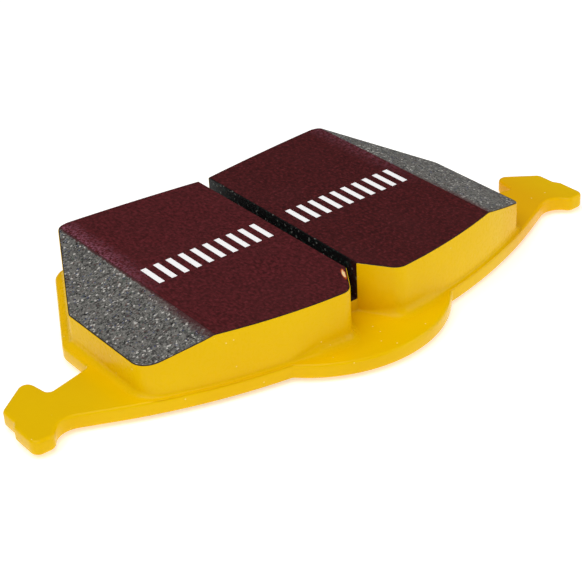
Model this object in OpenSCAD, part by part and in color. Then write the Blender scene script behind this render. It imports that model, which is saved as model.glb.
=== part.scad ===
// Disc brake pad for a floating caliper, lying on its back with the rubbing face up.
//
// A fine-blanked steel backing plate has a hammerhead ear at each end and a round tab on its outer
// edge. The friction block is moulded on it over an underlayer, whose plugs fill the plate's keying
// holes. A slot splits the block's face, both ends are chamfered, and a bedding-in coat covers what
// is left of the face. A bonded noise shim covers the back.
//
// The outline is drawn with y = 0 at the middle of the block's outer edge, +y towards the disc's
// axis. The whole pad is then moved so that the origin is the middle of its underside.

/* [Friction block] */
// Length of the block from end wall to end wall
block_l = 106.5; // [86:0.5:112]
// Height of the block on its centre line, from the outer edge to the inner edge
block_h = 63.5; // [56:0.1:80]
// Radius of the block's outer edge about the disc's axis
outer_r = 138; // [115:1:190]
// Height by which the inner edge rises from the centre line to its corners
inner_rise = 4.3; // [1:0.1:10]
// Bow of each half of the inner edge, out of a straight line
inner_bow = 0.35; // [0:0.05:1]
// Distance of the inner corner from the end wall, along the block
shoulder_in = 15; // [8:0.1:22]
// Distance of the shoulder's foot below the inner corner
shoulder_drop = 28.4; // [15:0.1:36]
// Corner radius between the left end wall and the outer edge
left_corner_r = 6; // [1:0.5:9]
// Corner radius between the right end wall and the outer edge
right_corner_r = 2.5; // [1:0.5:9]
// Corner radius between the inner edge and the shoulder
inner_corner_r = 4; // [1:0.5:8]
// Thickness of the friction material above the underlayer
friction_t = 10; // [7:0.1:14]
// Thickness of the underlayer
underlayer_t = 2; // [1:0.1:3.5]
// Thickness of the adhesive film between plate and underlayer
film_t = 0.1; // [0.05:0.05:0.3]

/* [Slot and chamfers] */
// Width of the slot
slot_w = 3; // [2:0.1:6]
// Thickness of friction material left under the slot
slot_floor = 0.9; // [0.3:0.1:5]
// Half width of the notch where the slot meets the outer edge
notch_half = 6.9; // [4:0.1:10]
// Depth of the notch along the block
notch_depth = 8.3; // [4:0.1:14]
// Radius of the notch's outer corners
notch_r = 3.5; // [0.5:0.1:4]
// Length of the chamfer at each end
chamfer_l = 14.8; // [4:0.5:25]
// Depth of the chamfer at the end wall
chamfer_d = 4.8; // [1:0.1:6.5]

/* [Backing plate] */
// Overall length across the ears
plate_l = 156.8; // [150:0.2:190]
// Thickness of the plate
plate_t = 3.6; // [3:0.1:6.5]
// Width of the plate's rim past the block's ends and shoulders
end_rim = 2.3; // [0.5:0.1:4]
// Width of the plate's rim past the block's inner and outer edges
edge_rim = 1.1; // [0.5:0.1:3]
// Distance that the tab stands out past the block's outer edge
tab_out = 9.2; // [4:0.1:14]
// Radius of the tab
tab_r = 31; // [25:0.5:38]
// Corner radius where the tab meets the plate's outer edge
tab_fillet_r = 1.5; // [0.5:0.1:4]
// Diameter of the keying holes
key_d = 9; // [5:0.5:11]
// Spacing of the keying holes along the plate
key_pitch = 26; // [20:0.5:30]
// Height of the lower row of keying holes
key_low_y = 20; // [16:0.5:24]
// Height of the upper row of keying holes
key_high_y = 45; // [40:0.5:50]

/* [Ears] */
// Height of the end face's outer corner, the foot of the ear
foot_y = 12.8; // [10:0.1:15]
// Height of the step in the end face
step_y = 21.6; // [18:0.1:23]
// Depth of the step in the end face
step_d = 0.9; // [0.3:0.1:2]
// Height of the end face's inner corner
face_top_y = 27.3; // [25:0.1:29]
// Length of the hammerhead along the plate
head_l = 11.6; // [9:0.1:14]
// Height of the hammerhead's horn above the neck
horn_h = 8; // [4:0.1:11]
// Length of the foot along the plate
foot_l = 4.8; // [4.4:0.1:6.5]
// Distance from the foot's corner to the hollow behind it
hollow_run = 3.1; // [1:0.1:5]
// Height of the neck's outer side, where its line meets the foot's
neck_low_y = 17.5; // [15.5:0.1:18.5]
// Height of the neck's inner side at the hammerhead
neck_high_y = 26.6; // [24:0.1:28]
// Height of the neck's inner side at the plate's body
root_high_y = 29.5; // [27:0.1:32]
// Radius of the ear's outer corners
ear_r = 2; // [0.3:0.1:2.1]
// Radius of the hollow under the neck
neck_r = 5; // [1:0.5:6]

/* [Coat and print] */
// Thickness of the bedding-in coat
coat_t = 0.1; // [0.05:0.05:0.3]
// Distance that the coat keeps from the edges of the rubbing face
coat_gap = 0.15; // [0.05:0.05:0.5]
// Thickness of the printed strokes
ink_t = 0.05; // [0.03:0.01:0.05]
// Height of the printed strokes
stroke_h = 7.5; // [4:0.1:12]
// Width of one printed stroke
stroke_w = 1.4; // [0.8:0.1:2]
// Distance from the row of strokes to each end of the flat half
stroke_margin = 3; // [1:0.1:6]
// Height of the strokes' middle on the block
stroke_y = 33.8; // [28:0.1:40]
// Number of strokes on each half
stroke_count = 10; // [4:1:12]

/* [Noise shim] */
// Thickness of the adhesive under the plate
glue_t = 0.1; // [0.05:0.05:0.3]
// Thickness of the shim's steel core
core_t = 0.5; // [0.3:0.05:1]
// Thickness of each rubber coat on the core
rubber_t = 0.15; // [0.1:0.05:0.4]
// Distance that the shim keeps from the plate's body edge
shim_inset = 2.5; // [1.5:0.1:5]
// Corner radius of the shim
shim_r = 4; // [1:0.5:8]

/* [Hidden] */

arc_step = 6;        // largest turn between two points of an arc, in degrees
fillet_share = 0.8;  // largest share of a side that one rounded corner may take
over = 1;            // how far a cut runs past the solid it cuts
root_r = 1;          // radius in the ear's root and beside its horn
step_r = 0.5;        // radius of the step's two corners
side_r = 3;          // radius where the shoulder meets the end wall
horn_lean = 1.4;     // how far the horn's tip leans out from its foot
root_run = 3.5;      // length of the outer arc that carries on past the body into the neck

// Levels, from the underside up
z_outer_rubber = 0;
z_core = z_outer_rubber + rubber_t;
z_inner_rubber = z_core + core_t;
z_glue = z_inner_rubber + rubber_t;
z_plate = z_glue + glue_t;
z_film = z_plate + plate_t;
z_underlayer = z_film + film_t;
z_friction = z_underlayer + underlayer_t;
z_face = z_friction + friction_t;
z_top = z_face + coat_t;
slot_d = friction_t - slot_floor;

// Block's corners on the right half
half_l = block_l / 2;
corner_x = half_l - shoulder_in;
corner_y = block_h + inner_rise;
inner_mid = [0, block_h];
inner_corner = [corner_x, corner_y];
end_top = [half_l, corner_y - shoulder_drop];
end_foot = [half_l, 0];
flat_x = half_l - chamfer_l;

// Ear's lengths along the plate
tip_x = plate_l / 2;
head_x = tip_x - head_l;
body_x = half_l + end_rim;

// Height of the arc about the disc's axis, m past the block's outer edge
function outer_y(x, m = 0) = outer_r - sqrt(pow(outer_r + m, 2) - x * x);

// Points along that arc between two distances from the centre line
function outer_arc(x0, x1, m = 0) =
    let (n = ceil(abs(x1 - x0) / 5))
    [for (i = [0:n]) let (x = x0 + (x1 - x0) * i / n) [x, outer_y(x, m), 0]];

// One half of the inner edge, m past the block: a slightly bowed line from the centre out
function inner_edge(m = 0) =
    let (n = 6)
    [for (i = [0:n - 1]) let (k = i / n)
        [corner_x * k, block_h + m + inner_rise * k + 4 * inner_bow * k * (1 - k), 0]];

// Where the line through a and b, moved out by m, meets the line through c and d, moved out by n
function unit(v) = v / norm(v);
function moved(a, b, m) = let (u = unit(b - a)) a + m * [-u.y, u.x];
function meet(a, b, m, c, d, n) =
    let (p = moved(a, b, m), q = moved(c, d, n), r = b - a, s = d - c, w = q - p)
    p + r * (w.x * s.y - w.y * s.x) / (r.x * s.y - r.y * s.x);

function grown_corner(e, m) = meet(inner_mid, inner_corner, e, inner_corner, end_top, m);
function grown_foot(m) = meet(inner_corner, end_top, m, end_top, end_foot, m);

// Points that replace the corner at p, between a and b, by an arc of radius r
function fillet(a, p, b, r) =
    let (
        u = unit(a - p),
        v = unit(b - p),
        half = acos(u * v) / 2,
        t = min(r / tan(half), fillet_share * min(norm(a - p), norm(b - p))),
        c = p + unit(u + v) * t / cos(half),
        from = p + t * u - c,
        to = p + t * v - c,
        start = atan2(from.y, from.x),
        raw = atan2(to.y, to.x) - start,
        turn = raw > 180 ? raw - 360 : raw < -180 ? raw + 360 : raw,
        n = max(2, ceil(abs(turn) / arc_step))
    )
    [for (i = [0:n]) let (g = start + turn * i / n) c + norm(from) * [cos(g), sin(g)]];

// An outline from [x, y, radius] points, each rounded by its own radius
function flat(p) = [p.x, p.y];
function rounded(pts) =
    let (n = len(pts))
    [for (i = [0:n - 1])
        each pts[i].z > 0
            ? fillet(flat(pts[(i + n - 1) % n]), flat(pts[i]), flat(pts[(i + 1) % n]), pts[i].z)
            : [flat(pts[i])]];

// The right half and the mirror image of the other, as one closed list
function joined(half, other) =
    [each half, for (i = [len(other) - 1:-1:1]) [-other[i].x, other[i].y, other[i].z]];
function mirrored(half) = joined(half, half);

// A corner as an [x, y, radius] point
function corner(p, r) = [p.x, p.y, r];

// Block's outline: inner edge, shoulder, end wall, outer edge, notch
notch_mouth = outer_y(notch_half);
function block_half(corner_r) = [
    each inner_edge(),
    corner(inner_corner, inner_corner_r),
    corner(end_top, side_r),
    [half_l, outer_y(half_l), corner_r],
    each outer_arc(half_l - 2 * corner_r, notch_half + 2 * notch_r),
    [notch_half, notch_mouth, notch_r],
    [slot_w / 2, notch_depth, 0]
];
block_points = rounded(joined(block_half(right_corner_r), block_half(left_corner_r)));

// Tab's circle and where it leaves the plate's outer edge
tab_y = tab_r - tab_out;
axis_gap = outer_r - tab_y;
edge_r = outer_r + edge_rim;
tab_foot_y = outer_r - (axis_gap * axis_gap + edge_r * edge_r - tab_r * tab_r) / (2 * axis_gap);
tab_foot_x = sqrt(tab_r * tab_r - pow(tab_foot_y - tab_y, 2));
tab_half_angle = atan2(tab_foot_x, tab_y - tab_foot_y);
tab_steps = 8;
tab_arc = [for (i = [1:tab_steps]) let (g = tab_half_angle * (1 - i / tab_steps))
    [tab_r * sin(g), tab_y - tab_r * cos(g), 0]];

// Plate's outline: body, ear, outer edge, tab
plate_half = [
    each inner_edge(edge_rim),
    corner(grown_corner(edge_rim, end_rim), inner_corner_r + edge_rim),
    corner(grown_foot(end_rim), side_r + end_rim),
    [body_x, root_high_y, root_r],
    [head_x, neck_high_y, root_r],
    [head_x + horn_lean, neck_high_y + horn_h, ear_r],
    [tip_x - step_d, face_top_y, ear_r],
    [tip_x - step_d, step_y + step_d, step_r],
    [tip_x, step_y - step_d, step_r],
    [tip_x, foot_y, ear_r],
    [tip_x - foot_l, foot_y, ear_r],
    [tip_x - foot_l - hollow_run, neck_low_y, neck_r],
    each outer_arc(body_x + root_run, tab_foot_x + 2 * tab_fillet_r, edge_rim),
    [tab_foot_x, tab_foot_y, tab_fillet_r],
    each tab_arc
];
plate_points = rounded(mirrored(plate_half));

// Shim's outline: the plate's body, drawn in
shim_half = [
    each inner_edge(edge_rim - shim_inset),
    corner(grown_corner(edge_rim - shim_inset, end_rim - shim_inset), shim_r),
    corner(grown_foot(end_rim - shim_inset), side_r),
    [body_x - shim_inset, outer_y(body_x - shim_inset, edge_rim - shim_inset), shim_r],
    each outer_arc(body_x - shim_inset - 2 * shim_r, 0, edge_rim - shim_inset)
];
shim_points = rounded(mirrored(shim_half));

// Middle of the plate, the pad's largest outline, which becomes the origin
plate_ys = [for (p = plate_points) p.y];
middle_y = (max(plate_ys) + min(plate_ys)) / 2;

// Places of the keying holes
key_places = [
    for (x = [-key_pitch, 0, key_pitch]) [x, key_low_y],
    for (x = [-key_pitch, 0, key_pitch]) [x, key_high_y]
];

// A flat solid of outline pts from level z, t thick
module layer(pts, z, t) {
    translate([0, -middle_y, z]) linear_extrude(t) polygon(pts);
}

// The keying holes' round places between two levels
module keys(z, t) {
    for (p = key_places) translate([p.x, p.y - middle_y, z]) cylinder(d = key_d, h = t, $fn = 48);
}

// The wedge that a chamfer takes off one end of the block; side is 1 or -1
module chamfer_cut(side) {
    reach = chamfer_l + over;
    drop = chamfer_d * reach / chamfer_l;
    profile = [[0, 0], [reach, -drop], [reach, over], [0, over]];
    translate([side * flat_x, corner_y + over - middle_y, z_face])
        rotate([90, 0, 0])
            linear_extrude(corner_y + 2 * over)
                polygon([for (p = profile) [side * p.x, p.y]]);
}

module slot_cut() {
    translate([-slot_w / 2, notch_depth - over - middle_y, z_face - slot_d])
        cube([slot_w, block_h - notch_depth + 3 * over, slot_d + over]);
}

module backing_plate() {
    color("gold") difference() {
        layer(plate_points, z_plate, plate_t);
        keys(z_plate - over, plate_t + 2 * over);
    }
}

module bond_film() {
    color("darkgoldenrod") difference() {
        layer(block_points, z_film, film_t);
        keys(z_film - over, film_t + 2 * over);
    }
}

// Underlayer with the plugs that fill the plate's keying holes
module underlayer() {
    color("dimgray") union() {
        layer(block_points, z_underlayer, underlayer_t);
        keys(z_plate, z_underlayer - z_plate);
    }
}

module friction_block() {
    color("gray") difference() {
        layer(block_points, z_friction, friction_t);
        slot_cut();
        chamfer_cut(1);
        chamfer_cut(-1);
    }
}

// Block's outline drawn in by the coat's gap
coat_points = rounded(mirrored([
    each inner_edge(-coat_gap),
    corner(grown_corner(-coat_gap, -coat_gap), inner_corner_r),
    corner(grown_foot(-coat_gap), side_r),
    [half_l - coat_gap, outer_y(half_l - coat_gap, -coat_gap), left_corner_r],
    each outer_arc(half_l - 2 * left_corner_r, notch_half + 2 * notch_r, -coat_gap),
    [notch_half + coat_gap, outer_y(notch_half + coat_gap, -coat_gap), notch_r],
    [slot_w / 2 + coat_gap, notch_depth + coat_gap, 0]
]));

// Bedding-in coat on one half of the rubbing face, with room for the print; side is 1 or -1
module coat(side) {
    start = slot_w / 2 + coat_gap;
    width = flat_x - coat_gap - start;
    color("maroon") difference() {
        intersection() {
            layer(coat_points, z_face, coat_t);
            translate([side > 0 ? start : -start - width, -middle_y, z_face - over])
                cube([width, block_h + inner_rise, 2 * over]);
        }
        strokes(side, ink_t + over);
    }
}

// A plain row of strokes on one half, t thick from the print's underside; side is 1 or -1
module strokes(side, t) {
    start = slot_w / 2 + stroke_margin;
    pitch = (flat_x - stroke_margin - stroke_w - start) / (stroke_count - 1);
    for (i = [0:stroke_count - 1]) {
        x = start + i * pitch;
        translate([side > 0 ? x : -x - stroke_w, stroke_y - stroke_h / 2 - middle_y, z_top - ink_t])
            cube([stroke_w, stroke_h, t]);
    }
}

// Printed strokes, flush with the coat
module print_marks(side) {
    color("white") strokes(side, ink_t);
}

module coat_left() { coat(-1); }
module coat_right() { coat(1); }
module print_left() { print_marks(-1); }
module print_right() { print_marks(1); }

module shim_glue() {
    color("khaki") layer(shim_points, z_glue, glue_t);
}

module shim_inner_rubber() {
    color("darkslategray") layer(shim_points, z_inner_rubber, rubber_t);
}

module shim_steel() {
    color("silver") layer(shim_points, z_core, core_t);
}

module shim_outer_rubber() {
    color("black") layer(shim_points, z_outer_rubber, rubber_t);
}

backing_plate();
bond_film();
underlayer();
friction_block();
coat_left();
coat_right();
print_left();
print_right();
shim_glue();
shim_inner_rubber();
shim_steel();
shim_outer_rubber();
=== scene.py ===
# %% [markdown]
# # A disc brake pad, seen from its rubbing face
#
# The pad is a steel backing plate with a friction block moulded on it. Everything outside the
# rubbing face is powder coated golden yellow, the rubbing face has a thin maroon bedding-in coat,
# and a rubber-coated steel shim is bonded to the back. The solid model gives every size, so this
# lesson only adds what a solid model lacks: softened edges, paint that pools in a corner, a grainy
# face and the finishes.

# %% Load the solid model
import math

import bmesh
import bpy
import numpy as np
from mathutils import Matrix, Vector
from mathutils.geometry import tessellate_polygon


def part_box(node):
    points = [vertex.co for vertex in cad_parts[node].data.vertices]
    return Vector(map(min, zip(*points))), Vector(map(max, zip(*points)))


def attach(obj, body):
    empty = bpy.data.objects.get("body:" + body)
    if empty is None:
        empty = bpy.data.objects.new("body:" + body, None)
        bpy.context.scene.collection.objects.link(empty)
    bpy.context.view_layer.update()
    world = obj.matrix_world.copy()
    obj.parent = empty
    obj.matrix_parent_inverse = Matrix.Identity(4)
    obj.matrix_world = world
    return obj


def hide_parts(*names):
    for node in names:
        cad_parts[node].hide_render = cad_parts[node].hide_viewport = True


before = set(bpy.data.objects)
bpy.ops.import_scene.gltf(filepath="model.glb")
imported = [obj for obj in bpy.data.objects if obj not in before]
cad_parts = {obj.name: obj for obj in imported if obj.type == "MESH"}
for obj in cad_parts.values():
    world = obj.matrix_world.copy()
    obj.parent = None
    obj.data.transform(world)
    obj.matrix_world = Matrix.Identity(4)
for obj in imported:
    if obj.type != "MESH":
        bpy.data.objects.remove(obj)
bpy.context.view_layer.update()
print("nodes:", sorted(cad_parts))

# %% [markdown]
# ## Camera, light and floor
#
# The pad lies on a pale floor. The camera looks down on its outer edge from the left through a
# long lens, which keeps the far ear nearly as large as the near one. It leans a little, so it is
# built from three directions: forward, right and up. The strongest soft light hangs nearly
# overhead. Two weaker ones stand low on both sides of the camera and lift the upright walls.


# %% Camera
def direction(azimuth, elevation):
    """Unit vector that looks along azimuth, 0 being +Y and 90 -X, and down by elevation."""
    a, e = math.radians(azimuth), math.radians(elevation)
    return Vector((-math.sin(a) * math.cos(e), math.cos(a) * math.cos(e), -math.sin(e)))


def add_camera(place, azimuth, elevation, lean, lens):
    """A camera at place; lean turns its picture about the line of sight, in degrees."""
    forward = direction(azimuth, elevation)
    level = forward.cross(Vector((0, 0, 1))).normalized()
    right = Matrix.Rotation(math.radians(lean), 3, forward) @ level
    up = right.cross(forward)
    data = bpy.data.cameras.new("camera")
    data.lens, data.sensor_width = lens, 36  # mm, as on a full-frame camera
    data.clip_start, data.clip_end = 0.01, 20  # m
    camera = bpy.data.objects.new("camera", data)
    turned = Matrix((right, up, -forward)).transposed().to_4x4()
    camera.matrix_world = Matrix.Translation(place) @ turned
    bpy.context.collection.objects.link(camera)
    return camera


eye = (-0.18876, -0.25515, 0.19120)  # m, the pad's middle being the origin
camera = add_camera(eye, azimuth=-36.393, elevation=31.007, lean=3.075, lens=99.08)
bpy.context.scene.camera = camera
print("camera right vector:", [round(v, 4) for v in camera.matrix_world.col[0][:3]])


# %% Colours and nodes
def colour(code):
    """A #RRGGBB colour in sRGB turned to linear RGBA: a power law with a straight foot."""
    srgb = np.array([int(code[i:i + 2], 16) for i in (1, 3, 5)]) / 255
    linear = np.where(srgb <= 0.04045, srgb / 12.92, ((srgb + 0.055) / 1.055) ** 2.4)
    return (*linear.tolist(), 1.0)


def add(tree, kind, inputs=None, **settings):
    """Adds a shader node. An input is a number or colour to set, or another node's output."""
    made = tree.nodes.new("ShaderNode" + kind)
    for name, value in settings.items():
        setattr(made, name, value)
    for key, value in (inputs or {}).items():
        if isinstance(value, bpy.types.NodeSocket):
            tree.links.new(value, made.inputs[key])
        else:
            made.inputs[key].default_value = value
    return made


def new_material(name):
    """An empty node material: its tree, its Principled shader and its Object coordinates."""
    material = bpy.data.materials.new(name)
    material.use_nodes = True
    tree = material.node_tree
    return material, tree, tree.nodes["Principled BSDF"], add(tree, "TexCoord").outputs["Object"]


def dress(tree, shader, **values):
    """Sets or links the Principled shader's sockets by name, with _ for a space."""
    for name, value in values.items():
        socket = shader.inputs[name.replace("_", " ")]
        if isinstance(value, bpy.types.NodeSocket):
            tree.links.new(value, socket)
        else:
            socket.default_value = value


def blend(tree, factor, first, second):
    """Mix of two colours, each a code or another node's output."""
    first, second = (colour(c) if isinstance(c, str) else c for c in (first, second))
    return add(tree, "Mix", {0: factor, 6: first, 7: second}, data_type="RGBA").outputs[2]


def ramp(tree, value, low, high):
    """0 where value is at low, 1 at high, even between; low may be above high."""
    return add(tree, "MapRange", {0: value, 1: low, 2: high}).outputs[0]


def times(tree, first, second):
    """Product of two values."""
    return add(tree, "Math", {0: first, 1: second}, operation="MULTIPLY").outputs[0]


# %% Lights and floor
def soft_light(name, azimuth, elevation, distance, size, power):
    """A white square lamp of side size, in m, that looks at the pad along azimuth and elevation;
    power is in W."""
    data = bpy.data.lights.new(name, "AREA")
    data.shape, data.size, data.energy = "SQUARE", size, power
    lamp = bpy.data.objects.new(name, data)
    look = direction(azimuth, elevation)
    lamp.location = -distance * look
    lamp.rotation_euler = look.to_track_quat("-Z", "Y").to_euler()
    bpy.context.collection.objects.link(lamp)


soft_light("overhead_softbox", -75, 70, 1.1, 1.2, 10.4)
soft_light("right_softbox", 50, 20, 0.9, 0.7, 3.0)
soft_light("left_softbox", -70, 25, 0.9, 0.8, 1.2)

world = bpy.data.worlds.new("studio")
world.use_nodes = True
sky = world.node_tree.nodes["Background"].inputs
sky["Color"].default_value, sky["Strength"].default_value = (1, 1, 1, 1), 0.12
bpy.context.scene.world = world
bpy.context.scene.view_settings.view_transform = "Standard"

floor_paint, tree, shader, place = new_material("pale_studio_floor")
speckle = add(tree, "TexNoise", {"Vector": place, "Scale": 40})
tone = blend(tree, speckle.outputs[0], "#F4F4F2", "#FAFAF9")
dress(tree, shader, Base_Color=tone, Roughness=0.9, Emission_Color=(1, 1, 1, 1),
      Emission_Strength=0.4)

floor_half, floor_z = 3, -1e-4  # m; a hair below the pad, whose shim would flicker in its plane
floor_mesh = bpy.data.meshes.new("floor")
floor_mesh.from_pydata([(floor_half * i, floor_half * j, floor_z)
                        for i, j in ((-1, -1), (1, -1), (1, 1), (-1, 1))], [], [(0, 1, 2, 3)])
floor_mesh.materials.append(floor_paint)
floor = bpy.data.objects.new("floor", floor_mesh)
bpy.context.collection.objects.link(floor)

# %% [markdown]
# ## Outlines
#
# Plate and block are cut from the same few curves: two arcs about the disc's axis, a slightly
# bowed inner edge, straight shoulders. A list of corners, each with its own radius, describes one
# half. The corners could be rounded by a Bevel modifier, but each has a different radius, so the
# arcs are worked out here. All lengths are in millimetres, with y = 0 at the middle of the block's
# outer edge and +y towards the disc's axis.

# %% Driving sizes, in mm
half_l = 1000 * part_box("underlayer")[1].x  # block's end wall
tip_x = 1000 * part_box("backing_plate")[1].x  # ear's end face
z_plate, z_seat = 1000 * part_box("backing_plate")[0].z, 1000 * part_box("backing_plate")[1].z
z_friction, z_face = 1000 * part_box("friction_block")[0].z, 1000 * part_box("friction_block")[1].z

# block: height, radius of the outer edge, rise and bow of the inner edge, its corner and shoulder
block_h, outer_r, inner_rise, inner_bow = 63.5, 138.0, 4.3, 0.35
corner_in, shoulder_drop = 15, 28.4
corner_x, corner_y = half_l - corner_in, block_h + inner_rise
end_top_y = corner_y - shoulder_drop
left_corner_r, right_corner_r, inner_corner_r, side_r = 6.0, 2.5, 4.0, 3.0
chamfer_l, chamfer_d = 14.8, 4.8
flat_x = half_l - chamfer_l
# slot, the notch where it comes out, and the web of friction material left under it
slot_half, slot_web, notch_half, notch_depth, notch_r = 1.5, 0.9, 6.9, 8.3, 3.5
slot_floor_z = z_friction + slot_web
pair = 0.03  # gap between two points that make a sharp step
# plate: rims beside the block, tab, radius and places of the keying holes
end_rim, edge_rim = 2.3, 1.1
tab_out, tab_r, tab_fillet_r = 9.2, 31.0, 1.5
key_r, key_pitch, key_rows = 4.5, 26.0, (20.0, 45.0)
# ear: length, heights of its corners, the step in its end face and the hollow under it
head_l, root_high_y, neck_high_y, neck_low_y, root_run = 11.6, 29.5, 26.6, 17.5, 3.5
horn_lean, horn_h, face_top_y, step_y, step_d = 1.4, 8.0, 27.3, 21.6, 0.9
foot_y, foot_l, hollow_run = 12.8, 4.8, 3.1
root_r, ear_r, step_r, neck_r = 1.2, 2.0, 0.9, 5.0
print("levels in mm:", round(z_plate, 2), round(z_seat, 2), round(z_friction, 2), round(z_face, 2))


# %% Curves of the outline
def unit(v):
    """Vectors scaled to length one."""
    return v / np.linalg.norm(v, axis=-1, keepdims=True)


def outer_y(x, m=0.0):
    """Height at x of a circle about the disc's axis, m outside the block's outer edge."""
    return outer_r - np.sqrt((outer_r + m) ** 2 - x * x)


def sharp(x, y):
    """Points without a radius, as rows of x, y, 0."""
    return np.stack([x, y, 0 * x], axis=1)


def outer_edge(start, end, m=0.0):
    """Outer edge from x = start to x = end, in steps of about 2 mm."""
    x = np.linspace(start, end, int(abs(start - end) / 2) + 2)
    return sharp(x, outer_y(x, m))


def inner_edge(m=0.0, start=0.0):
    """Inner edge from x = start, m outside the block: a straight rise to the corner plus a
    parabola's bow. A pair of points close together marks where the slot's wall crosses it."""
    steps = np.linspace(start, corner_x, 16)[:-1]
    x = np.unique(np.concatenate([steps, [slot_half, slot_half + pair]]))
    k = x / corner_x
    return sharp(x, block_h + m + inner_rise * k + 4 * inner_bow * k * (1 - k))


def shifted(a, b, m):
    """The line from a to b, moved out by m to its left."""
    u = unit(b - a)
    return a + m * np.array([-u[1], u[0]]), b - a


def crossing(line, other):
    """Point where two lines, each a point and a direction, cross."""
    share = np.linalg.solve(np.stack([line[1], -other[1]], axis=1), other[0] - line[0])
    return line[0] + share[0] * line[1]


inner_mid, inner_end = np.array([0, block_h]), np.array([corner_x, corner_y])
end_top, end_foot = np.array([half_l, end_top_y]), np.array([half_l, 0.0])


def shoulder(edge_m, end_m, corner_radius, foot_radius):
    """The two corners of the shoulder, moved out by edge_m and end_m, with their radii."""
    slope = shifted(inner_end, end_top, end_m)
    top = crossing(shifted(inner_mid, inner_end, edge_m), slope)
    foot = crossing(slope, shifted(end_top, end_foot, end_m))
    return np.array([[*top, corner_radius], [*foot, foot_radius]])


def corner_arc(before, at, after, steps=10):
    """Arc of radius at[2] that touches both sides of the corner at, as an array of points."""
    u, v = unit(before[:2] - at[:2]), unit(after[:2] - at[:2])
    half = math.acos(u @ v) / 2
    sides = np.linalg.norm(before[:2] - at[:2]), np.linalg.norm(after[:2] - at[:2])
    reach = min(at[2] / math.tan(half), 0.8 * min(sides))
    centre = at[:2] + unit(u + v) * reach / math.cos(half)
    start, end = at[:2] + reach * u - centre, at[:2] + reach * v - centre
    first = math.atan2(start[1], start[0])
    turn = (math.atan2(end[1], end[0]) - first + math.pi) % (2 * math.pi) - math.pi
    angle = first + turn * np.linspace(0, 1, steps + 1)
    return centre + np.linalg.norm(start) * np.stack([np.cos(angle), np.sin(angle)], axis=1)


def rounded(corners):
    """The closed outline through these corners, each rounded by its own radius."""
    around = zip(np.roll(corners, 1, axis=0), corners, np.roll(corners, -1, axis=0))
    return np.concatenate([corner_arc(a, b, c) if b[2] > 0 else b[None, :2] for a, b, c in around])


def both_halves(right, left):
    """The right half and the mirror image of the left one as one closed outline."""
    whole = np.concatenate([right, left[:0:-1] * [-1, 1, 1]])
    return rounded(whole[np.abs(whole - np.roll(whole, 1, axis=0)).max(axis=1) > 1e-6])


def evenly(points, step=0.7):
    """The same closed outline with points added wherever a side is longer than step."""
    after = np.roll(points, -1, axis=0)
    count = np.maximum(1, np.ceil(np.linalg.norm(after - points, axis=1) / step)).astype(int)
    first = np.repeat(np.cumsum(count) - count, count)
    share = (np.arange(count.sum()) - first) / np.repeat(count, count)
    start, along = np.repeat(points, count, axis=0), np.repeat(after - points, count, axis=0)
    return start + share[:, None] * along


def outward(points):
    """Outward direction at each point of a closed outline, longer at a sharp corner so that a
    shifted outline keeps its distance there."""
    sides = unit(np.roll(points, -1, axis=0) - points)
    before = np.roll(sides, 1, axis=0)
    along = unit(sides + before)
    x, y = points.T
    turning = np.sign(np.sum(x * np.roll(y, -1) - np.roll(x, -1) * y))
    normal = turning * np.stack([along[:, 1], -along[:, 0]], axis=1)
    return normal / np.maximum(0.5, np.sum(along * sides, axis=1, keepdims=True))


# %% [markdown]
# The block's outline runs from the inner edge over the shoulder and the end wall to the outer
# edge, and into the notch where the slot comes out. The plate's adds a hammerhead ear at each end,
# with a small step in its end face, and a round tab on the outer edge.

# %% Outlines of block and plate
notch_side = np.array([[notch_half, outer_y(notch_half)], [slot_half, notch_depth]])
notch_step = notch_side[1] + pair * unit(notch_side[0] - notch_side[1])


def block_half(inner, corner_r, notch_end):
    """Half of the block: inner edge, shoulder, end wall, outer edge, flank of the notch."""
    return np.concatenate([
        inner,
        shoulder(0, 0, inner_corner_r, side_r),
        [[half_l, outer_y(half_l), corner_r]],
        outer_edge(half_l - 2 * corner_r, notch_half + 2 * notch_r),
        [[*notch_side[0], notch_r], *notch_end],
    ])


slot_end = [[*notch_step, 0], [*notch_side[1], 0]]
block_outline = both_halves(*(block_half(inner_edge(), r, slot_end)
                              for r in (right_corner_r, left_corner_r)))

tab_y = tab_r - tab_out
axis_gap, edge_r = outer_r - tab_y, outer_r + edge_rim
tab_foot_y = outer_r - (axis_gap**2 + edge_r**2 - tab_r**2) / (2 * axis_gap)
tab_foot_x = math.sqrt(tab_r**2 - (tab_foot_y - tab_y) ** 2)
tab_turn = np.linspace(math.atan2(tab_foot_x, tab_y - tab_foot_y), 0, 26)[1:]

body_x, head_x, face_x = half_l + end_rim, tip_x - head_l, tip_x - step_d
plate_half = np.concatenate([
    inner_edge(edge_rim),
    shoulder(edge_rim, end_rim, inner_corner_r + edge_rim, side_r + end_rim),
    [[body_x, root_high_y, root_r], [head_x, neck_high_y, root_r],  # the neck's inner side
     [head_x + horn_lean, neck_high_y + horn_h, ear_r], [face_x, face_top_y, ear_r],  # the horn
     [face_x, step_y + step_d, step_r], [tip_x, step_y - step_d, step_r],  # the step
     [tip_x, foot_y, ear_r], [tip_x - foot_l, foot_y, ear_r],  # the foot
     [tip_x - foot_l - hollow_run, neck_low_y, neck_r]],  # the hollow
    outer_edge(body_x + root_run, tab_foot_x + 2 * tab_fillet_r, edge_rim),
    [[tab_foot_x, tab_foot_y, tab_fillet_r]],
    sharp(tab_r * np.sin(tab_turn), tab_y - tab_r * np.cos(tab_turn)),
])
plate_outline = both_halves(plate_half, plate_half)
middle_y = (plate_outline[:, 1].max() + plate_outline[:, 1].min()) / 2
print("outline points:", len(block_outline), len(plate_outline), "middle", round(middle_y, 3))


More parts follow.
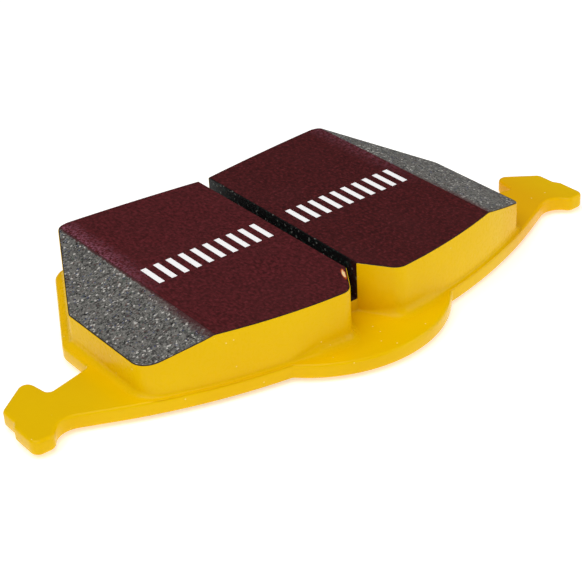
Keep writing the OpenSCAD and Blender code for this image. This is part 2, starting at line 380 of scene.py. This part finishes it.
# %% [markdown]
# ## From arrays to a mesh
#
# A wall is an outline carried up a profile: the outline gives one parameter, the profile the
# other, and the whole grid of points comes from adding each profile step along the outline's
# outward directions. A flat end is filled with triangles, leaving out any holes.

# %% Mesh helpers
def strips(rows, columns, start=0, round_rows=False):
    """Faces between neighbouring rows of a grid of points whose last column joins the first;
    round_rows joins the last row to the first too."""
    row = np.arange(rows if round_rows else rows - 1)[:, None]
    column = np.arange(columns)
    corners = [((row + i) % rows) * columns + (column + j) % columns for i, j in
               ((0, 0), (0, 1), (1, 1), (1, 0))]
    return start + np.stack(corners, axis=-1).reshape(-1, 4)


def carried(outline, steps_out, heights):
    """Grid of points: row k is the outline moved out by steps_out[k] and lifted to heights[k],
    where either may differ from point to point."""
    out, up = (np.array([np.broadcast_to(v, len(outline)) for v in values])[..., None]
               for values in (steps_out, heights))
    return np.concatenate([outline + out * outward(outline), up], axis=-1)


def filled(loops):
    """Triangles that fill the first closed loop and leave out the others, as rows of point numbers
    counted through all loops in turn."""
    corners = [[Vector((*p, 0)) for p in loop.tolist()] for loop in loops]
    return np.array(tessellate_polygon(corners))


def make_piece(name, points, faces, materials, which=None):
    """A smooth closed mesh object at the origin from points in mm and a list of face arrays; which
    gives the number of the material for each array."""
    mesh = bpy.data.meshes.new(name)
    mesh.from_pydata(((points - [0, middle_y, 0]) / 1000).tolist(), [],
                     [f for array in faces for f in array.tolist()])
    for material in materials:
        mesh.materials.append(material)
    numbers = np.repeat(which or [0] * len(faces), [len(array) for array in faces])
    mesh.polygons.foreach_set("material_index", numbers.astype(np.int32))
    mesh.polygons.foreach_set("use_smooth", np.ones(len(numbers), dtype=bool))
    shell = bmesh.new()
    shell.from_mesh(mesh)
    bmesh.ops.recalc_face_normals(shell, faces=shell.faces)
    open_edges = sum(len(edge.link_faces) != 2 for edge in shell.edges)
    volume = shell.calc_volume() * 1e9
    shell.to_mesh(mesh)
    shell.free()
    mesh.set_sharp_from_angle(angle=math.radians(50))
    mesh.update()
    piece = bpy.data.objects.new(name, mesh)
    bpy.context.collection.objects.link(piece)
    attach(piece, "root")
    print(name, len(numbers), "faces, open edges", open_edges, "volume mm3", round(volume),
          "size", np.ptp(points, axis=0).round(2))
    return piece


def lumps(x, y, size, seed):
    """Smooth random heights from 0 to 1: random values on a square lattice of side size, joined
    by an S-shaped blend, read at every x and y."""
    table = np.random.default_rng(seed).random((97, 97))
    column, row = x / size + 200, y / size + 200
    i, j = np.floor(column).astype(int), np.floor(row).astype(int)
    s, t = column - i, row - j
    s, t = s * s * (3 - 2 * s), t * t * (3 - 2 * t)
    near = table[i % 97, j % 97] * (1 - s) + table[(i + 1) % 97, j % 97] * s
    far = table[i % 97, (j + 1) % 97] * (1 - s) + table[(i + 1) % 97, (j + 1) % 97] * s
    return near * (1 - t) + far * t


# %% [markdown]
# ## Golden powder coat
#
# The steel and the block's sides are sprayed with charged powder and baked. It melts to a thick,
# glossy skin with a faint orange peel about 2 mm across, specks of dust under it and a few tiny
# raised nibs, each painted pale as a painted highlight. The right end of the pad is painted a
# darker, more orange yellow as painted shade. The paint is a plastic, so it isn't metallic and its
# IOR is 1.5. Its mirror reflection is kept weak, because a pale studio would wash the yellow out.

# %% Powder coat material
def powder_coat(name, peel_depth, gloss, shine, drag):
    """Yellow powder coat; peel_depth is the height of the orange peel in mm, gloss its roughness,
    shine the share of its mirror reflection, drag the strength of upright marks under it."""
    material, tree, shader, place = new_material(name)
    cloud = add(tree, "TexNoise", {"Vector": place, "Scale": 1 / 0.025, "Detail": 2.0})
    grain = add(tree, "TexNoise", {"Vector": place, "Scale": 1 / 0.0008, "Detail": 1.0})
    tone = blend(tree, ramp(tree, cloud.outputs[0], 0.35, 0.65), "#E9B900", "#ECBF00")
    # painted shade: the right end of the pad, x = 44 to 77 mm with its ear, is painted a darker,
    # more orange yellow
    parts = add(tree, "SeparateXYZ", {0: place})
    painted_shade_band = times(tree, ramp(tree, parts.outputs[0], 0.044, 0.056),
                 ramp(tree, parts.outputs[0], 0.077, 0.067))
    tone = blend(tree, times(tree, painted_shade_band, 0.8), tone, "#E9AD00")
    # nibs about 0.3 mm across, one every 2.4 mm, of which the random share keeps half
    nibs = add(tree, "TexVoronoi", {"Vector": place, "Scale": 1 / 0.0024})
    chosen = add(tree, "SeparateColor", {0: nibs.outputs["Color"]})
    keep = add(tree, "Math", {0: chosen.outputs[0], 1: 0.5}, operation="GREATER_THAN")
    nib_with_painted_glint = times(tree, ramp(tree, nibs.outputs["Distance"], 0.085, 0.055), keep.outputs[0])
    # painted highlight: the nibs are real raised bumps, and their pale yellow colour is painted
    # glints on them
    tone = blend(tree, nib_with_painted_glint, tone, "#FFE27A")
    sheen = add(tree, "MapRange", {0: grain.outputs[0], 3: gloss - 0.05, 4: gloss + 0.05})
    peel = add(tree, "TexNoise", {"Vector": place, "Scale": 1 / 0.002, "Detail": 1.5})
    # marks that the mould leaves when the block is pushed out of it, 1 mm wide and 15 mm long
    upright = add(tree, "Mapping", {0: place, 3: (1, 1, 0.07)})
    marks = add(tree, "TexNoise", {"Vector": upright.outputs[0], "Scale": 1 / 0.001, "Detail": 2.0})
    skin = add(tree, "Math", {0: marks.outputs[0], 1: drag, 2: peel.outputs[0]},
               operation="MULTIPLY_ADD")
    height = add(tree, "Math", {0: nib_with_painted_glint, 1: 0.8, 2: skin.outputs[0]},
                 operation="MULTIPLY_ADD")
    relief = add(tree, "Bump", {"Height": height.outputs[0], "Distance": peel_depth / 1000})
    dress(tree, shader, Base_Color=tone, Roughness=sheen.outputs[0], IOR=1.5,
          Specular_IOR_Level=shine, Normal=relief.outputs[0])
    return material


plate_paint = powder_coat("golden_powder_coat_on_steel", peel_depth=0.03, gloss=0.22, shine=0.1,
                          drag=0)
side_paint = powder_coat("golden_powder_coat_on_moulding", peel_depth=0.06, gloss=0.28, shine=0.1,
                         drag=0.9)

# %% [markdown]
# ## Backing plate
#
# The plate is fine-blanked from 3.6 mm steel. The punch leaves one face with a rolled edge, and the
# paint draws back from both edges and softens them further, so no edge is sharp. A Bevel modifier
# would fight with the small radii of the ears, so the soft edge is part of the profile. The six
# keying holes go right through and are filled by the underlayer's plugs.


# %% Build the plate
def soft_profile(low, high, radius, inset=0.12, steps=5):
    """Steps out and heights of a wall whose two edges are quarter circles, each starting a little
    inside the flat face."""
    turn = np.linspace(0, math.pi / 2, steps + 1)
    out = radius * (np.sin(turn) - 1)
    rise = radius * (1 - np.cos(turn))
    steps_out = np.concatenate([[out[0] - inset], out, out[::-1], [out[0] - inset]])
    heights = np.concatenate([[low], low + rise, (high - rise)[::-1], [high]])
    return steps_out, heights


def ring(x, y, radius, count=48):
    """A circle as a closed loop of points."""
    turn = np.linspace(0, 2 * math.pi, count, endpoint=False)
    return np.stack([x + radius * np.cos(turn), y + radius * np.sin(turn)], axis=1)


def slab(name, outline, low, high, radius, material, holes=()):
    """A solid plate with soft edges, pierced by round holes."""
    steps_out, heights = soft_profile(low, high, radius)
    wall = carried(outline, steps_out, heights)
    rows, columns = wall.shape[:2]
    sides = len(holes[0]) if holes else 0
    starts = [rows * columns + 2 * sides * i for i in range(len(holes))]
    rings = [np.c_[np.tile(hole, (2, 1)), np.repeat([low, high], sides)] for hole in holes]
    faces = [strips(rows, columns)] + [strips(2, sides, start) for start in starts]
    for row, level in ((0, 0), (rows - 1, 1)):
        number = np.concatenate([row * columns + np.arange(columns),
                                 *[start + level * sides + np.arange(sides) for start in starts]])
        faces.append(number[filled([wall[row, :, :2], *holes])])
    return make_piece(name, np.concatenate([wall.reshape(-1, 3), *rings]), faces, [material])


edge_radius = 0.7
keys = [ring(x, y, key_r) for y in key_rows for x in (-key_pitch, 0, key_pitch)]
plate = slab("painted_plate", evenly(plate_outline), z_plate, z_seat, edge_radius,
             plate_paint, keys)
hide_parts("backing_plate")

# %% [markdown]
# ## Painted sides of the block
#
# The same powder coat covers the block's sides. It hides the seam between friction material and
# underlayer, and it pools where the block stands on the plate, so wall and plate meet in a small
# hollow curve. The skin is a closed ring: an L-shaped profile carried round the block, whose top
# follows the chamfers and drops at both ends of the slot.


# %% Build the painted sides
def face_height(x):
    """Height of the block's face at x: level in the middle, falling evenly along each chamfer."""
    return z_face - chamfer_d * np.maximum(0, np.abs(x) - flat_x) / chamfer_l


def skin_height(x):
    """Top of the paint: just under the face, or the slot's floor where the slot comes out."""
    return np.where(np.abs(x) < slot_half + pair / 2, slot_floor_z, face_height(x) - bare_rim)


paint_t, bare_rim = 0.12, 0.14  # paint's thickness, bare edge above it
round_block = evenly(block_outline)
x, y = round_block.T
top = skin_height(x)
# room on the plate: wide at the ends, where outward points along x, and wide on the tab
ends = np.abs(outward(round_block)[:, 0])
on_tab = np.clip((tab_foot_x - 1 - np.abs(x)) / 6, 0, 1) * (y < notch_depth + 1)
on_tab *= np.clip((np.abs(x) - 2.5) / 4, 0, 1)  # narrow again deep in the notch
pool_r = np.maximum(0.62 + 0.9 * np.clip(ends, 0, 1) ** 2 * (y > 8), 0.62 + 1.6 * on_tab)
turn = np.linspace(0, math.pi / 2, 8)[:, None]
hollow_out = paint_t + pool_r * (1 - np.sin(turn))
hollow_up = z_seat + 0.01 + pool_r * (1 - np.cos(turn))
foot_out = hollow_out[0] + 0.3  # the skin's lip, just below the plate's face
skin = carried(
    round_block,
    [0, foot_out, foot_out, foot_out - 0.1, *hollow_out, paint_t, paint_t * 0.7, 0],
    [z_seat, z_seat - 0.1, z_seat - 0.02, z_seat - 0.01, *hollow_up, top - 0.1, top - 0.03, top],
)
sides = make_piece("painted_block_sides", skin.reshape(-1, 3),
                   [strips(*skin.shape[:2], round_rows=True)], [side_paint])

# %% [markdown]
# ## Friction material
#
# The block is a hot-pressed mix of fibres, rubber, ceramic powders and metal grains in a resin.
# Its chamfers are ground, which lays the grains bare: a grey ground with light, dark and a few
# coloured grains about half a millimetre across. The maroon spray leaves a fading edge on them.
# The slot is sawn, so its walls are rough. They are painted almost black, partly as a darker
# material and partly as painted shade, which makes the faces inside the slot nearly black.


# %% Friction materials
def grains(tree, place, size, wobble):
    """Random cells of the given size in mm, their sides bent by noise: distance and colour."""
    bend = add(tree, "TexNoise", {"Vector": place, "Scale": 1000 / size, "Detail": 1.0})
    shift = add(tree, "VectorMath", {0: bend.outputs["Color"], 1: (0.5, 0.5, 0.5)},
                operation="SUBTRACT")
    bent = add(tree, "VectorMath", {0: shift.outputs[0], 1: (wobble / 1000,) * 3, 2: place},
               operation="MULTIPLY_ADD")
    cells = add(tree, "TexVoronoi", {"Vector": bent.outputs[0], "Scale": 1000 / size})
    return cells, add(tree, "SeparateColor", {0: cells.outputs["Color"]})


def spray_edge(tree, place, start, end, jitter):
    """0 to 1 as the distance from the middle of the pad goes from start to end, in mm, with a
    ragged edge of the given jitter."""
    parts = add(tree, "SeparateXYZ", {0: place})
    away = add(tree, "Math", {0: parts.outputs[0]}, operation="ABSOLUTE")
    ragged = add(tree, "TexNoise", {"Vector": place, "Scale": 1 / 0.0009, "Detail": 4.0})
    moved = add(tree, "Math", {0: ragged.outputs[0], 1: jitter / 500, 2: away.outputs[0]},
                operation="MULTIPLY_ADD")
    return ramp(tree, moved.outputs[0], (start + jitter) / 1000, (end + jitter) / 1000)


friction, tree, shader, place = new_material("ground_friction_material")
cells, pick = grains(tree, place, 0.42, 0.25)
chosen = grains(tree, place, 0.4, 0.3)[1]
dust = add(tree, "TexNoise", {"Vector": place, "Scale": 1 / 0.0003, "Detail": 2.0})
patch = add(tree, "TexNoise", {"Vector": place, "Scale": 1 / 0.007, "Detail": 2.0})
tone = blend(tree, ramp(tree, dust.outputs[0], 0.4, 0.6), "#444341", "#7C7A75")
tone = blend(tree, times(tree, ramp(tree, patch.outputs[0], 0.35, 0.7), 0.5), tone, "#74716C")
tone = blend(tree, times(tree, ramp(tree, pick.outputs[0], 0.6, 0.7), 0.7), tone, "#343231")
tone = blend(tree, times(tree, ramp(tree, pick.outputs[1], 0.7, 0.8), 0.6), tone, "#8E8C86")
tone = blend(tree, ramp(tree, pick.outputs[2], 0.93, 0.95), tone, "#2A2827")
tone = blend(tree, times(tree, ramp(tree, chosen.outputs[0], 0.94, 0.955), 0.8), tone, "#D4D0C9")
tone = blend(tree, times(tree, ramp(tree, chosen.outputs[1], 0.96, 0.97), 0.6), tone, "#5E3F3A")
tone = blend(tree, times(tree, ramp(tree, chosen.outputs[2], 0.96, 0.97), 0.6), tone, "#39456B")
tone = blend(tree, times(tree, ramp(tree, chosen.outputs[2], 0.04, 0.03), 0.5), tone, "#41564A")
# the spray stops sharply in the pad's far part and fades over 2 mm in its near part
parts = add(tree, "SeparateXYZ", {0: place})
near = ramp(tree, parts.outputs[1], 0.004, -0.012)
crisp = spray_edge(tree, place, flat_x + 0.5, flat_x + 0.2, 0.5)
faded = times(tree, spray_edge(tree, place, flat_x + 2.4, flat_x + 0.2, 1.6), near)
maroon = add(tree, "Math", {0: crisp, 1: faded}, operation="MAXIMUM").outputs[0]
tone = blend(tree, times(tree, maroon, 0.9), tone, "#4A1A1E")
dull = add(tree, "MapRange", {0: pick.outputs[1], 3: 0.6, 4: 0.9})
pits = add(tree, "Math", {0: pick.outputs[0], 1: cells.outputs["Distance"]}, operation="SUBTRACT")
relief = add(tree, "Bump", {"Height": pits.outputs[0], "Distance": 0.00008})
dress(tree, shader, Base_Color=tone, Roughness=dull.outputs[0], Specular_IOR_Level=0.3,
      Normal=relief.outputs[0])

sawn_with_painted_shade, tree, shader, place = new_material("sawn_friction_material_with_painted_shade")
cells, pick = grains(tree, place, 0.45, 0.3)
parts = add(tree, "SeparateXYZ", {0: place})
in_slot = ramp(tree, add(tree, "Math", {0: parts.outputs[0]}, operation="ABSOLUTE").outputs[0],
               0.0019, 0.0017)
tone = blend(tree, ramp(tree, pick.outputs[0], 0.3, 0.9), "#1C0A0A", "#2A1512")
# painted shade: inside the slot the faces are painted nearly black
tone = blend(tree, in_slot, tone, "#0B0809")
outer_end = ramp(tree, parts.outputs[1], (notch_depth + 3.5 - middle_y) / 1000,
                 (notch_depth + 0.5 - middle_y) / 1000)
tone = blend(tree, times(tree, in_slot, times(tree, outer_end, 0.7)), tone, "#3A0A0E")
glint = times(tree, in_slot, ramp(tree, pick.outputs[1], 0.88, 0.9))
tone = blend(tree, times(tree, glint, 0.7), tone, "#24352F")
glint = times(tree, in_slot, ramp(tree, pick.outputs[2], 0.965, 0.97))
tone = blend(tree, times(tree, glint, 0.6), tone, "#84827C")
relief = add(tree, "Bump", {"Height": pick.outputs[0], "Distance": 0.0002})
dress(tree, shader, Base_Color=tone, Roughness=0.55, Specular_IOR_Level=0.3,
      Normal=relief.outputs[0])

# %% [markdown]
# Each half of the block is a grid of points: one parameter runs from the slot to the end wall, the
# other from the outer to the inner boundary at that place. The grid's rim then turns down over a
# small worn edge and into the walls. A few hundredths of a millimetre of pits break up the face.


# %% Build the friction material
def block_shell(x, low_y, high_y, top, bottom, edge, side, seed, count=120):
    """Closed solid between two boundaries given at every x. The grid is
    y = low + v * (high - low), its height is top less pits, and its rim goes down a quarter circle
    of radius edge and a straight wall. side is 1 or -1. Returns points and three face arrays."""
    v = np.linspace(0, 1, count)
    y = low_y[:, None] + v * (high_y - low_y)[:, None]
    flat = np.broadcast_to(x[:, None], y.shape)
    pits = 0.05 * lumps(flat, y, 0.9, seed) + 0.03 * lumps(flat, y, 0.4, seed + 1)
    grid = np.stack([flat, y, top(flat) - pits], axis=-1)
    number = np.arange(y.size).reshape(y.shape)
    quads = np.stack([number[:-1, :-1], number[1:, :-1], number[1:, 1:], number[:-1, 1:]], axis=-1)
    rim = np.concatenate([number[:-1, 0], number[-1, :-1], number[:0:-1, -1], number[0, :0:-1]])
    plan = grid.reshape(-1, 3)[rim, :2]
    turn = np.linspace(0, math.pi / 2, 5)[1:]
    level = top(plan[:, 0])
    wall = carried(plan, [*(edge * np.sin(turn)), edge],
                   [*(level - edge * (1 - np.cos(t)) for t in turn), bottom])
    rows, columns = wall.shape[:2]
    start = y.size
    joint = np.stack([rim, np.roll(rim, -1), start + (np.arange(columns) + 1) % columns,
                      start + np.arange(columns)], axis=-1)
    foot = start + (rows - 1) * columns + filled([wall[-1, :, :2]])
    points = np.concatenate([grid.reshape(-1, 3), wall.reshape(-1, 3)]) * [side, 1, 1]
    sides = np.concatenate([joint, strips(rows, columns, start)])
    return points, [quads.reshape(-1, 4), sides, foot]


worn = 0.2  # radius of the block's worn edges


def boundaries(corner_r, step=0.4):
    """Rows x, low y and high y of one half of the face, drawn in by the worn edge. x holds every
    place where either boundary bends, so that both keep their corners."""
    outline = rounded(block_half(np.delete(inner_edge(start=slot_half), 1, axis=0), corner_r,
                                 [[*notch_side[1], 0]]))
    inside = outline - worn * outward(outline)
    wall = np.argmax(inside[:, 0] > half_l - worn - 1e-6)  # first point of the end wall
    high, low = inside[:wall + 1], inside[:wall:-1]
    start, end = slot_half + worn, half_l - worn
    bends = np.concatenate([inside[:, 0], np.linspace(start, end, int((end - start) / step))])
    x = start + 0.06 * np.unique(np.round((bends - start) / 0.06))
    x = np.append(x[x < end - 0.03], end)
    return x, np.interp(x, *low.T), np.interp(x, *high.T)


slot_x = np.linspace(-slot_half, slot_half, 14)
slot_low, slot_high = np.full(14, notch_depth), np.full(14, block_h + 0.1)
floor_shape = slot_x, slot_low, slot_high, lambda x: slot_floor_z + 0 * x
shells = [
    block_shell(*boundaries(right_corner_r), face_height, z_friction, worn, 1, 11),
    block_shell(*boundaries(left_corner_r), face_height, z_friction, worn, -1, 23),
    block_shell(*floor_shape, z_friction, 0.02, 1, 37),
]
counts = np.cumsum([0] + [len(points) for points, _ in shells])
faces = [array + first for (_, arrays), first in zip(shells, counts) for array in arrays]
lining = make_piece("friction_material", np.concatenate([points for points, _ in shells]), faces,
                    [friction, sawn_with_painted_shade], [0, 1, 1, 0, 1, 1, 1, 1, 1])
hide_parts("friction_block")

# %% [markdown]
# ## Bedding-in coat and print
#
# The coat is a thin abrasive paint sprayed on the rubbing face. It is dull, maroon, and keeps the
# texture of the face under it. Along the far chamfer it is dusty and paler. The print is a white
# silk-screen ink with pinholes. Both are flat layers whose solid model is right, so those solids
# only get their finish.


# %% Coat and ink materials
def coat_material(name, dusty, dark, light):
    """Maroon bedding-in coat between two shades; dusty is how strong the pale band beside the
    chamfer is."""
    material, tree, shader, place = new_material(name)
    fine = add(tree, "TexNoise", {"Vector": place, "Scale": 1 / 0.0007, "Detail": 3.0})
    streaks = add(tree, "Mapping", {0: place, 3: (1, 0.5, 1)})
    ground = add(tree, "TexNoise", {"Vector": streaks.outputs[0], "Scale": 1 / 0.0006,
                                    "Detail": 3.0})
    broad = add(tree, "TexNoise", {"Vector": place, "Scale": 1 / 0.012, "Detail": 3.0})
    tone = blend(tree, ramp(tree, ground.outputs[0], 0.36, 0.64), dark, light)
    tone = blend(tree, times(tree, ramp(tree, broad.outputs[0], 0.4, 0.75), 0.5), tone, "#4A1A1C")
    tone = blend(tree, times(tree, ramp(tree, fine.outputs[0], 0.54, 0.72), 0.45), tone, "#7A3038")
    tone = blend(tree, times(tree, ramp(tree, fine.outputs[0], 0.46, 0.3), 0.5), tone, "#2C080B")
    parts = add(tree, "SeparateXYZ", {0: place})
    far = ramp(tree, parts.outputs[1], -0.004, 0.016)
    dust = add(tree, "TexNoise", {"Vector": place, "Scale": 1 / 0.0005, "Detail": 3.0})
    band = times(tree, spray_edge(tree, place, flat_x - 4.5, flat_x - 0.6, 2.0), far)
    band = times(tree, times(tree, band, ramp(tree, dust.outputs[0], 0.42, 0.62)), dusty)
    tone = blend(tree, band, tone, "#93586A")
    cells, pick = grains(tree, place, 0.6, 0.3)
    height = add(tree, "Math", {0: pick.outputs[0], 1: fine.outputs[0]}, operation="ADD")
    relief = add(tree, "Bump", {"Height": height.outputs[0], "Distance": 0.00006})
    dull = add(tree, "MapRange", {0: fine.outputs[0], 3: 0.6, 4: 0.8})
    dress(tree, shader, Base_Color=tone, Roughness=dull.outputs[0], Specular_IOR_Level=0.15,
          Normal=relief.outputs[0])
    return material, tree, shader, place, tone


def give(node, material):
    """Puts the finish on a solid of the CAD model."""
    for holder in bpy.data.objects[node].material_slots:
        holder.material = material


left_coat, tree, shader, place, tone = coat_material("maroon_bedding_coat_chipped", 0.8,
                                                     "#3E0E10", "#5C1C21")
# a chip beside the notch, 1.2 by 3 mm, where the yellow paint of the flank shows
chip_place = add(tree, "Mapping", {0: place, 1: (-0.0037, (6.4 - middle_y) / 1000, z_face / 1000),
                                   2: (0, 0, math.radians(-27)), 3: (0.00042, 0.0020, 0.001)},
                 vector_type="TEXTURE")
reach = add(tree, "VectorMath", {0: chip_place.outputs[0]}, operation="LENGTH")
rag = add(tree, "TexNoise", {"Vector": place, "Scale": 1 / 0.0005})
bent = add(tree, "Math", {0: rag.outputs[0], 1: reach.outputs["Value"]}, operation="ADD")
tone = blend(tree, ramp(tree, bent.outputs[0], 1.7, 1.4), tone, "#C8560C")
tone = blend(tree, ramp(tree, bent.outputs[0], 1.35, 1.1), tone, "#F9D9A0")
dress(tree, shader, Base_Color=tone)
give("coat_left", left_coat)
# painted shade: the right half of the coat is painted in darker maroons than the left half
give("coat_right", coat_material("maroon_bedding_coat", 0.4, "#370C0E", "#511719")[0])

ink, tree, shader, place = new_material("white_screen_ink")
pinholes = add(tree, "TexNoise", {"Vector": place, "Scale": 1 / 0.0003, "Detail": 2.0})
tone = blend(tree, ramp(tree, pinholes.outputs[0], 0.33, 0.26), "#FFFFFF", "#B98084")
relief = add(tree, "Bump", {"Height": pinholes.outputs[0], "Distance": 0.00002})
# painted light: the ink glows faintly, emission 0.08, so it looks brighter than the lamps make it
dress(tree, shader, Base_Color=tone, Roughness=0.5, Emission_Color=tone, Emission_Strength=0.08,
      Normal=relief.outputs[0])
give("print_left", ink)
give("print_right", ink)

# %% [markdown]
# ## Underlayer and bond
#
# The underlayer is a softer, dark moulding mix with pale mineral grains and short brass fibres. It
# is pressed through the keying holes, so it fills them level with the plate's back. A thin film of
# phenolic resin, brown from the oven, glues it to the steel.

# %% Underlayer and bond materials
moulding, tree, shader, place = new_material("dark_underlayer_moulding")
cells, pick = grains(tree, place, 0.5, 0.3)
clump = add(tree, "TexNoise", {"Vector": place, "Scale": 1 / 0.0012, "Detail": 4.0})
tone = blend(tree, ramp(tree, clump.outputs[0], 0.3, 0.7), "#2B2724", "#47413A")
tone = blend(tree, times(tree, ramp(tree, pick.outputs[0], 0.88, 0.91), 0.8), tone, "#8F877A")
tone = blend(tree, times(tree, ramp(tree, pick.outputs[1], 0.94, 0.96), 0.8), tone, "#8A6435")
dull = add(tree, "MapRange", {0: clump.outputs[0], 3: 0.65, 4: 0.9})
relief = add(tree, "Bump", {"Height": pick.outputs[0], "Distance": 0.0001})
dress(tree, shader, Base_Color=tone, Roughness=dull.outputs[0], Specular_IOR_Level=0.3,
      Normal=relief.outputs[0])
give("underlayer", moulding)

resin, tree, shader, place = new_material("baked_phenolic_resin")
flow = add(tree, "TexNoise", {"Vector": place, "Scale": 1 / 0.004, "Detail": 3.0})
bubbles = add(tree, "TexVoronoi", {"Vector": place, "Scale": 1 / 0.0009})
tone = blend(tree, ramp(tree, flow.outputs[0], 0.3, 0.7), "#4A2410", "#7A421D")
tone = blend(tree, ramp(tree, bubbles.outputs["Distance"], 0.16, 0.1), tone, "#2C1409")
shine = add(tree, "MapRange", {0: flow.outputs[0], 3: 0.25, 4: 0.45})
dress(tree, shader, Base_Color=tone, Roughness=shine.outputs[0], IOR=1.55)
give("bond_film", resin)

# %% [markdown]
# ## Noise shim
#
# A shim against squeal covers the plate's back: a thin steel core with nitrile rubber baked on both
# sides and an acrylic glue under it. The rubber is black and finely pebbled by its mould roll. Six
# faint rings show where it is pressed over the rims of the keying holes. The core's cut edge is
# bare zinc-plated steel. The outer rubber is rebuilt with softened edges.

# %% Shim materials
rubber, tree, shader, place = new_material("pebbled_nitrile_rubber")
pebble = add(tree, "TexVoronoi", {"Vector": place, "Scale": 1 / 0.00045})
smear = add(tree, "TexNoise", {"Vector": place, "Scale": 1 / 0.009, "Detail": 5.0})
bloom = add(tree, "TexNoise", {"Vector": place, "Scale": 1 / 0.0006, "Detail": 3.0})
nearest = 1.0
for y in key_rows:
    for x in (-key_pitch, 0, key_pitch):
        away = add(tree, "VectorMath", {0: place, 1: (x / 1000, (y - middle_y) / 1000, 0)},
                   operation="DISTANCE")
        nearest = add(tree, "Math", {0: nearest, 1: away.outputs["Value"]},
                      operation="MINIMUM").outputs[0]
rim = times(tree, ramp(tree, nearest, (key_r + 0.5) / 1000, (key_r + 0.1) / 1000),
            ramp(tree, nearest, (key_r - 0.8) / 1000, (key_r - 0.2) / 1000))
tone = blend(tree, ramp(tree, smear.outputs[0], 0.35, 0.7), "#16181A", "#26282B")
tone = blend(tree, times(tree, ramp(tree, bloom.outputs[0], 0.55, 0.75), 0.4), tone, "#3C3E40")
tone = blend(tree, times(tree, rim, 0.35), tone, "#4A4C4E")
dull = add(tree, "MapRange", {0: smear.outputs[0], 3: 0.45, 4: 0.7})
height = add(tree, "Math", {0: rim, 1: 0.5, 2: pebble.outputs["Distance"]},
             operation="MULTIPLY_ADD")
relief = add(tree, "Bump", {"Height": height.outputs[0], "Distance": 0.00006})
dress(tree, shader, Base_Color=tone, Roughness=dull.outputs[0], Specular_IOR_Level=0.4,
      Normal=relief.outputs[0])
give("shim_inner_rubber", rubber)

zinc, tree, shader, place = new_material("zinc_plated_sheet_steel")
brush = add(tree, "Mapping", {0: place, 3: (1, 1, 12)})
lines = add(tree, "TexNoise", {"Vector": brush.outputs[0], "Scale": 1 / 0.0004, "Detail": 3.0})
tone = blend(tree, ramp(tree, lines.outputs[0], 0.3, 0.7), "#9A9DA0", "#C9CBCC")
shine = add(tree, "MapRange", {0: lines.outputs[0], 3: 0.3, 4: 0.5})
dress(tree, shader, Base_Color=tone, Metallic=1.0, Roughness=shine.outputs[0])
give("shim_steel", zinc)

glue, tree, shader, place = new_material("acrylic_shim_glue")
pool = add(tree, "TexNoise", {"Vector": place, "Scale": 1 / 0.003, "Detail": 2.0})
tone = blend(tree, ramp(tree, pool.outputs[0], 0.3, 0.7), "#A8935A", "#C7B67F")
shine = add(tree, "MapRange", {0: pool.outputs[0], 3: 0.2, 4: 0.4})
dress(tree, shader, Base_Color=tone, Roughness=shine.outputs[0], IOR=1.47)
give("shim_glue", glue)

# %% Build the shim's rubber face
shim_inset, shim_r = 2.5, 4.0
drawn, drawn_end = edge_rim - shim_inset, end_rim - shim_inset
shim_x = half_l + drawn_end
shim_half = np.concatenate([
    inner_edge(drawn),
    shoulder(drawn, drawn_end, shim_r, side_r),
    [[shim_x, outer_y(shim_x, drawn), shim_r]],
    outer_edge(shim_x - 2 * shim_r, 0, drawn),
])
z_low, z_high = (1000 * corner.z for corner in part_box("shim_outer_rubber"))
shim_face = slab("shim_rubber_face", evenly(both_halves(shim_half, shim_half)), z_low, z_high,
                 0.45 * (z_high - z_low), rubber)
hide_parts("shim_outer_rubber")
